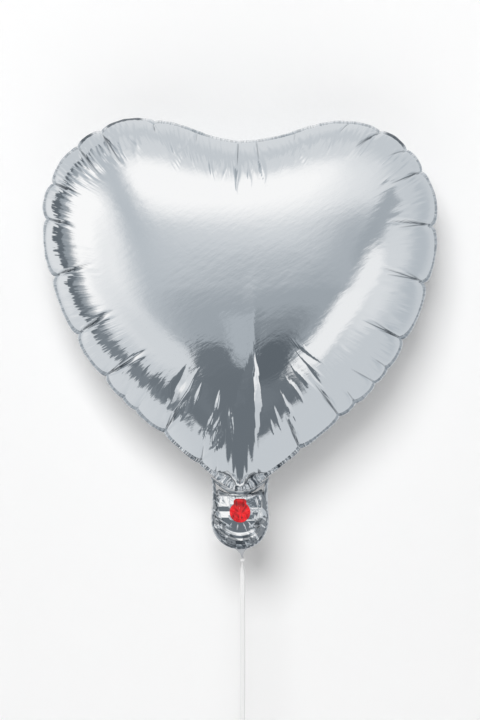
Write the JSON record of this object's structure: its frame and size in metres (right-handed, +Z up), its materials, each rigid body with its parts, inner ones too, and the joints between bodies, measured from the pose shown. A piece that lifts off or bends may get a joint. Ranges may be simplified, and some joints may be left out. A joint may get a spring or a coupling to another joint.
{
  "type": "heart-shaped foil balloon",
  "caption": "Inflated heart-shaped foil balloon of two welded panels, with a flat tail tab, self-sealing valve patch and a flat ribbon that ends in a loop.",
  "frame": {"origin": "middle of the inflated heart in the plane of its weld, where the air's buoyancy holds it up", "axes": "+Z up from the tail to the lobes, -Y out of the front panel, +X to the right seen from the front"},
  "size_m": [0.3966, 0.1778, 0.6394],
  "materials": {
    "silver_foil": "mirror-like metallised film",
    "foil_weld": "crimped metallised film",
    "red_film": "glossy crumpled film",
    "grey_film": "gathered silver-grey film",
    "white_ribbon": "smooth plastic ribbon"
  },
  "bodies": {
    "root": {"envelope_front": "silver_foil", "envelope_back": "silver_foil", "envelope_weld": "foil_weld", "tail_front": "silver_foil", "tail_back": "silver_foil", "tail_weld": "foil_weld", "valve_patch": "red_film", "valve_port": "red_film", "tail_tip": "grey_film", "ribbon_knot": "white_ribbon", "ribbon": "white_ribbon", "ribbon_end_knot": "white_ribbon", "ribbon_end_loop": "white_ribbon"}
  },
  "joints": []
}
